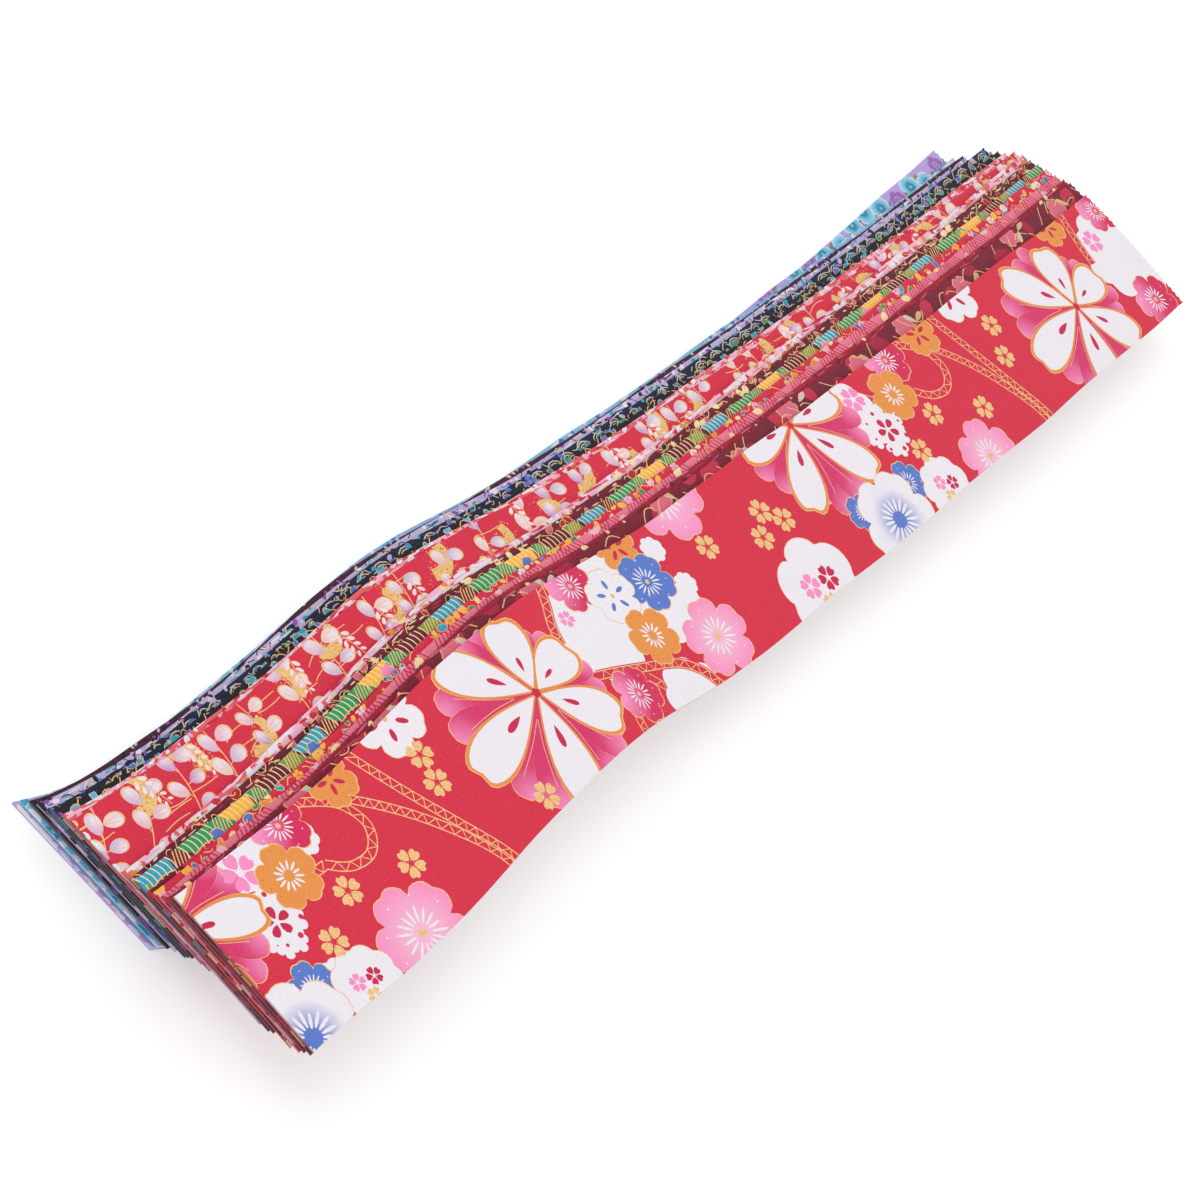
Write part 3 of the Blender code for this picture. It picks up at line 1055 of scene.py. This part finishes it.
# Ribbons of the top strip. The first ones come twice, a repeat apart
RIBBON_REPEAT = 312
RIBBONS = (
    ((61, 43), (68, 35), (75, 25), (82, 12), (85, 4), (86, -3)),
    ((73, 52), (75.5, 41), (79, 28), (83, 16), (87, 4), (88, -3)),
    ((41, 33), (47, 28.5), (55, 28), (60.5, 34), (58, 43), (48, 50)),
    ((18, 44), (24, 38), (30, 34), (41, 33)),
)
SHORT_RIBBONS = (((176, 12), (184, 2)), ((180, 46), (187, 52)))


def top_ribbons(drawn, _length):
    """The laced ribbons of the top strip, which lie under its blossoms."""
    repeated = [[(u + RIBBON_REPEAT, v) for u, v in line] for line in RIBBONS]
    for line in (*RIBBONS, *repeated, *SHORT_RIBBONS):
        drawn.laced_ribbon(line)


# Motifs of the top strip, in the order of printing. Each row has what draws it and with what colours,
# then the place, radius and turn of every such motif. A lace has the places that it runs through
PINK_BLOSSOM = (PALE_PINK, PINK)
CRIMSON_BLOSSOM = (PINK, BRIGHT_CRIMSON, WHITE, GOLD, 0.9)
BLUE_BLOSSOM = (BLUE, BLUE)
TOP_MOTIFS = (
    (Print.white_patch, (), ((171, 30), 17, 0.3), ((189, 0), 13, 0.5), ((184, 45), 15, 1.1),
     ((197, 26), 11, 0.2), ((489, 28), 18, 0.9), ((495, 15), 9, 0.2), ((208, 24), 7, 0.4),
     ((212.5, 42.5), 4.5, 0.2), ((213.5, 29), 4, 0.6), ((15, 39), 13, 0.4), ((25, 43), 10, 0.9),
     ((41, 42), 5.5, 0.2), ((322, 40), 12, 0.8)),
    (Print.lace, (), ((13, 39), (20, 36.5), (28, 34.5), (36, 33)),
     ((167, 53), (163.5, 45.8), (158.5, 38.8), (156, 33)),
     ((158, 20), (175, 15.5), (189.5, 11.8), (196.5, 6.8), (200, 0.5), (201, -3)),
     ((164, 9), (159.5, 4), (158, -2)),
     ((481, 53), (477.5, 44), (475, 36), (474, 30))),
    (Print.small_blossom, (PINK,), ((165, 38), 2.8, 0.8), ((483, 36), 4.6, 0.1),
     ((328, 43), 4.6, 0.6)),
    (Print.lacy_cluster, (), ((17.5, 29.5), 10.5, 0.1), ((330, 29), 10.5, 0.5)),
    (Print.seeded_blossom, (), ((91.5, 49.5), 12, 0.5), ((402, 52), 12, 0.1)),
    (Print.blossom, PINK_BLOSSOM, ((9, 48.5), 7.5, 0.9)),
    (Print.grand_blossom, (), ((-9.5, 43.5), 24, -0.36, 2.8)),
    (Print.small_blossom, (PINK,), ((19.5, 44.5), 5.4, 0.3)),
    (Print.grand_blossom, (), ((135.5, 27), 31, 0.20, 0.5), ((296.5, 48.5), 28, 1.0, 1.6),
     ((450, 22), 31, 0.20, 0.5)),
    (Print.blossom, PINK_BLOSSOM, ((49, 4.5), 14.5, 0.5), ((362.5, 2.5), 13.5, 0.1),
     ((231, 53.5), 15.5, 0.9)),
    (Print.white_patch, (), ((20, 9), 6, 0.3)),
    (Print.blossom, BLUE_BLOSSOM, ((12.5, 11.5), 7.5, 0.2), ((321, 12.5), 7.5, 0.2),
     ((295, 14), 6.5, 0.8)),
    (Print.cloud_blossom, (), ((26, 3.5), 10.5, 0.3, 9)),
    (Print.rayed_blossom, (), ((2.5, 2.5), 16, 0.4), ((307, 5.5), 16.5, 0.9)),
    (Print.cloud_blossom, (), ((335, 3.5), 11, 0.1, 9), ((259, 3), 17.5, 0.4, 6)),
    (Print.blossom, CRIMSON_BLOSSOM, ((38.5, 48), 9.5, 0.3), ((353, 46.5), 9.5, 0.1),
     ((175.5, 45.5), 9.0, 0.4), ((167, 9.5), 9.5, 0.9), ((489, 7), 10.5, 0.5),
     ((497.5, 43.5), 9.0, 0.2)),
    (Print.orange_blossom, (), ((30, 36.5), 9.5, 0.2), ((344, 36.5), 9.5, 0.7)),
    (Print.orange_blossom, (CRIMSON,), ((62.5, 48.5), 8.5, 0.5), ((374.5, 47.5), 8.8, 0.2),
     ((200.5, 49), 8.5, 0.2), ((468.5, 49.5), 8.0, 0.6)),
    (Print.blossom, BLUE_BLOSSOM, ((201.5, 35.5), 10, 0.7)),
    (Print.seeded_blossom, (BLUE,), ((186.5, 37), 9.5, 0.2)),
    (Print.orange_blossom, (), ((189, 21.5), 9.5, 0.6)),
    (Print.blossom, PINK_BLOSSOM, ((210.5, 11.5), 12.5, 0.2)),
    (Print.small_blossom, (), *(((u, v), 4.3, turn) for u, v, turn in (
        (40.5, 24.5, 0.1), (26.5, 17, 0.7), (61.5, 19, 0.4), (90.5, 36.5, 0.9), (87.5, 28.5, 0.2),
        (112, 5.5, 0.2), (231, 34, 0.5), (259, 32.5, 0.1), (252, 26, 0.8), (264.5, 26.5, 0.3),
        (336, 17.5, 0.6), (352.5, 24, 0.1), (375, 16, 0.9), (407, 35, 0.3), (401, 24.5, 0.7),
    ))),
)


def top_motifs(drawn, _length):
    """The patches, laces and blossoms of the top strip, each row of the table in its turn."""
    for draw, settings, *rows in TOP_MOTIFS:
        for row in rows:
            draw(drawn, *row, *settings)


# What is printed on each strip

# ground: None stands for the panel's colour. seed: of the random draws. crossed: colours that the cut
# crosses. layers: in the order of printing, each with its band's low v, its step along the strip and so
# on. The edge shade: painted shade, the share of its colour that the cut edge keeps. pinked_sides: depth
# of the zigzag along the sides
Recipe = namedtuple(
    "Recipe", "ground seed crossed layers edge_shade pinked_sides", defaults=(0.64, 0.0)
)
PRINTS = (
    Recipe(LAVENDER, 11, (ICE_BLUE, WHITE, WHITE), ((lavender_sprays,),), 0.95),
    Recipe(linear(128, 188, 222), 12, (WHITE, ICE_BLUE, BLUE, TEAL), (
        (streaks, 46.0, 1.2, (WHITE, TURQUOISE, ICE_BLUE, LAVENDER)),
        (scattered, 46.5, 2.6, (WHITE, LILAC, TURQUOISE, BLUE), 1.0, None, 5),
    ), 0.95),
    Recipe(linear(70, 22, 44), 13, (BLACK, PURPLE), (
        (scattered, 46.5, 2.4, (PURPLE, BLACK, LILAC, BEIGE), 0.7),
    )),
    Recipe(LILAC, 14, (WHITE, NAVY, BLUE, BEIGE), (
        (streaks, 45.0, 1.2, (WHITE, TEAL, NAVY, LAVENDER, BEIGE), 0.7, 5.0),
        (scattered, 45.0, 2.2, (PURPLE, WHITE, TEAL, NAVY), 0.9),
        (fine_lines, 45.0, 4.0, 3.0, BLACK),
        (fine_lines, 45.0, 5.0, 3.0, CREAM),
    )),
    Recipe(NAVY, 15, (BLUE, BLACK, BLACK), (
        (beige_arcs,),
        (scattered, 46.0, 5.0, (TEAL, BLUE, LILAC), 1.1),
        (fine_lines, 46.0, 4.0, 4.0, BEIGE, 0.34),
    )),
    Recipe(NAVY, 16, (TEAL, BLACK, BLUE), (
        (scattered, 45.8, 3.0, (TEAL, GREEN, BLACK, BLUE), 1.5, GOLD),
        (fine_lines, 45.8, 5.0, 3.5),
    )),
    Recipe(BLACK, 17, (BEIGE, NAVY, PURPLE), (
        (fine_lines, 46.0, 3.2, 3.6),
        (scattered, 46.0, 7.0, (TEAL, SKY, BLUE), 1.3, GOLD),
    )),
    Recipe(CORAL, 18, (WHITE, RED, PALE_PINK), (
        (streaks, 46.0, 1.1, (WHITE, PALE_PINK, RED, WHITE)),
        (scattered, 45.6, 1.9, (WHITE, PALE_PINK, RED, PALE_PINK), 1.1),
        (fine_lines, 45.6, 9.0, 3.0),
    )),
    Recipe(RED, 19, (WHITE, GOLD, LILAC), ((gold_fans,), (wisteria_branches,))),
    Recipe(PALE_PINK, 20, (WHITE, CORAL, SKY), (
        (streaks, 45.0, 0.9, (WHITE, WHITE, CORAL, CRIMSON), 0.8, 8.0),
        (scattered, 44.5, 1.6, (WHITE, WHITE, CORAL, ORANGE, CREAM, RED), 1.2),
        (fine_lines, 44.5, 8.0, 3.0),
    )),
    Recipe(MAROON, 21, (RED, GOLD, BLACK), (
        (scattered, 44.5, 4.0, (DEEP_RED, BLACK, DUSTY_PINK, CREAM), 1.3, GOLD),
        (streaks, 44.8, 1.5, (CREAM, DEEP_RED, BLACK, CREAM), 0.45, 3.4),
        (fine_lines, 44.5, 2.6, 2.8),
    )),
    Recipe(MAROON, 22, (TEAL, DEEP_RED, MAROON), ((slanted_bands,),)),
    Recipe(RED, 23, (CREAM, DEEP_RED, MAROON), (
        (scattered, 44.0, 2.4, (YELLOW, GREEN, BLUE, CREAM, ORANGE, TEAL), 1.15, GOLD),
        (small_posies,),
        (fine_lines, 44.0, 3.4, 3.0),
    )),
    Recipe(linear(226, 118, 140), 24, (CRIMSON, PALE_PINK), (
        (leaning_strokes,),
        (scattered, 45.0, 13.0, (PALE_PINK, CREAM, CORAL), 1.8, GOLD),
    )),
    Recipe(linear(150, 20, 50), 25, (MAROON, DEEP_RED), (
        (streaks, 46.0, 1.6, (MAROON, DEEP_RED, DUSTY_PINK), 0.5),
        (scattered, 45.5, 6.0, (MAROON, DEEP_RED, CREAM), 1.1),
    ), pinked_sides=0.35),
    Recipe(BURGUNDY, 26, (CRIMSON, GOLD, MAROON), (
        (scattered, 42.5, 14.0, (linear(160, 24, 56), linear(184, 40, 70)), 4.4),
        (dusty_sprays,),
        (fine_lines, 42.5, 7.5, 7.0, GOLD, 0.34),
    )),
    Recipe(None, 3, (), ((top_ribbons,), (top_motifs,))),
)


def printed_strip(recipe, ground, length):
    """One strip's print, layer by layer, and last what the cut crosses."""
    drawn = Print(ground, recipe.seed)
    for layer, *settings in recipe.layers:
        layer(drawn, length, *settings)
    if recipe.crossed:
        edge_marks(drawn, length, recipe.crossed)
    return drawn


# Operators

# Added to the number of shapes, this seeds the random draws of a strip's outline
OUTLINE_SEED = 7


def lay_strips(context, first, last):
    """Lays the sheets of the strips numbered first to last, counted from the table up."""
    sizes, colours = context.scene.fabric_cloth_sizes, context.scene.fabric_print_colours
    for place in range(first - 1, last):
        node, recipe = NODES[place], PRINTS[place]
        laid = LaidStrip(node)
        drawn = printed_strip(recipe, recipe.ground or tuple(colours.ground), laid.length)
        chance = Random(len(drawn.shapes) + OUTLINE_SEED)
        outline = cut_outline(laid.length, chance, sizes.pinked_ends / MM, recipe.pinked_sides)
        reverse = tuple(colours.reverse)
        cloth = make_sheet(node + "_cloth", laid, drawn, outline, reverse, recipe.edge_shade)
        cloth.data.materials.append(cotton_material(node + "_cotton", sizes))
        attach(cloth, "root")
        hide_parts(node)
    return {"FINISHED"}


class FABRIC_OT_pale_strips(bpy.types.Operator):
    """Lays the four violet and blue strips on the table"""

    bl_idname = "fabric.pale_strips"
    bl_label = "Violet and Blue Strips"

    def execute(self, context):
        return lay_strips(context, 1, 4)


class FABRIC_OT_dark_strips(bpy.types.Operator):
    """Lays the three navy and black strips"""

    bl_idname = "fabric.dark_strips"
    bl_label = "Navy and Black Strips"

    def execute(self, context):
        return lay_strips(context, 5, 7)


class FABRIC_OT_wisteria_strips(bpy.types.Operator):
    """Lays the red strip with wisteria and the two pale pink strips round it"""

    bl_idname = "fabric.wisteria_strips"
    bl_label = "Wisteria and Pale Pink Strips"

    def execute(self, context):
        return lay_strips(context, 8, 10)


class FABRIC_OT_red_strips(bpy.types.Operator):
    """Lays the six red and crimson strips under the top one"""

    bl_idname = "fabric.red_strips"
    bl_label = "Red Strips"

    def execute(self, context):
        return lay_strips(context, 11, 16)


class FABRIC_OT_top_strip(bpy.types.Operator):
    """Lays the strip on top, red with large white blossoms"""

    bl_idname = "fabric.top_strip"
    bl_label = "Top Strip"

    def execute(self, context):
        return lay_strips(context, 17, 17)


FLOOR_SIZE = 12.0
FLOOR_BELOW = (0, 0, -0.0002)
FLOOR_GRAIN = (0.54, 0.54, 0.55, 1.0)
FLOOR_GRAIN_SCALE = 4.0
FLOOR_GRAIN_SHARE = 0.04
FLOOR_ROUGHNESS = 0.9
PURE_WHITE = (1, 1, 1, 1)

# Name, place in metres, size in metres and share of the key light's power
LIGHTS = (("key", (-0.35, 0.55, 1.5), 1.2, 1.0), ("side", (0.9, -0.9, 1.2), 1.4, 0.35))

CAMERA_PLACE = (-0.7507, -0.1008, 0.6659)
CAMERA_RIGHT = (0.5438, -0.6938, 0.4721)
CAMERA_DOWN = (-0.4269, -0.7130, -0.5562)
CAMERA_FORWARD = (0.7225, 0.1009, -0.6840)
CAMERA_LENS = 101.25
CAMERA_SENSOR = 36.0
CAMERA_CLIP = (0.05, 30.0)


class FABRIC_OT_studio(bpy.types.Operator):
    """Sets the pale floor, the soft lights and the camera"""

    bl_idname = "fabric.studio"
    bl_label = "Studio"

    def execute(self, context):
        looks = context.scene.fabric_studio_looks
        bpy.ops.mesh.primitive_plane_add(size=FLOOR_SIZE, location=FLOOR_BELOW)
        floor = context.object
        floor.name = "studio_floor"
        paper = Look("floor_paper")
        grain = paper.noise(Scale=FLOOR_GRAIN_SCALE)
        paper.shade({
            "Base Color": paper.mixed(grain * FLOOR_GRAIN_SHARE, (*looks.floor, 1.0), FLOOR_GRAIN),
            "Roughness": FLOOR_ROUGHNESS,
            "Emission Color": PURE_WHITE,
            "Emission Strength": looks.glow,
        })
        floor.data.materials.append(paper.material)
        world = bpy.data.worlds.new("studio_light")
        world.use_nodes = True
        background = world.node_tree.nodes["Background"].inputs
        background["Color"].default_value = PURE_WHITE
        background["Strength"].default_value = looks.fill
        context.scene.world = world
        for name, place, size, share in LIGHTS:
            light = bpy.data.lights.new(name, "AREA")
            light.size, light.energy = size, looks.key_power * share
            lamp = bpy.data.objects.new(name, light)
            lamp.location = place
            lamp.rotation_euler = (-Vector(place)).to_track_quat("-Z", "Y").to_euler()
            context.scene.collection.objects.link(lamp)
        lens = bpy.data.cameras.new("camera")
        lens.lens, lens.sensor_width = CAMERA_LENS, CAMERA_SENSOR
        lens.clip_start, lens.clip_end = CAMERA_CLIP
        camera = bpy.data.objects.new("camera", lens)
        axes = (Vector(CAMERA_RIGHT), -Vector(CAMERA_DOWN), -Vector(CAMERA_FORWARD))
        turn = Matrix(axes).transposed().to_4x4()
        camera.matrix_world = Matrix.Translation(CAMERA_PLACE) @ turn
        context.scene.collection.objects.link(camera)
        context.scene.camera = camera
        context.scene.view_settings.view_transform = "Standard"
        return {"FINISHED"}


GROUPS = {
    "fabric_cloth_sizes": FabricClothSizes,
    "fabric_print_colours": FabricPrintColours,
    "fabric_studio_looks": FabricStudioLooks,
}
OPERATORS = (
    FABRIC_OT_studio, FABRIC_OT_pale_strips, FABRIC_OT_dark_strips, FABRIC_OT_wisteria_strips,
    FABRIC_OT_red_strips, FABRIC_OT_top_strip,
)


class FABRIC_PT_panel(bpy.types.Panel):
    """Sizes, colours and lights, and a button for each group of strips and for the studio"""

    bl_idname = "FABRIC_PT_panel"
    bl_label = "Cotton Strips"
    bl_space_type = "VIEW_3D"
    bl_region_type = "UI"
    bl_category = "Cotton Strips"

    def draw(self, context):
        for pointer, group in GROUPS.items():
            for name in group.__annotations__:
                self.layout.prop(getattr(context.scene, pointer), name)
        for operator in OPERATORS:
            self.layout.operator(operator.bl_idname)


def register():
    for name, group in GROUPS.items():
        bpy.utils.register_class(group)
        setattr(bpy.types.Scene, name, bpy.props.PointerProperty(type=group))
    for cls in (*OPERATORS, FABRIC_PT_panel):
        bpy.utils.register_class(cls)


def unregister():
    for cls in (FABRIC_PT_panel, *OPERATORS[::-1]):
        bpy.utils.unregister_class(cls)
    for name, group in GROUPS.items():
        delattr(bpy.types.Scene, name)
        bpy.utils.unregister_class(group)


def main():
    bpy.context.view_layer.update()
    register()
    for operator in OPERATORS:
        group, name = operator.bl_idname.split(".")
        getattr(getattr(bpy.ops, group), name)()


if __name__ == "__main__":
    main()
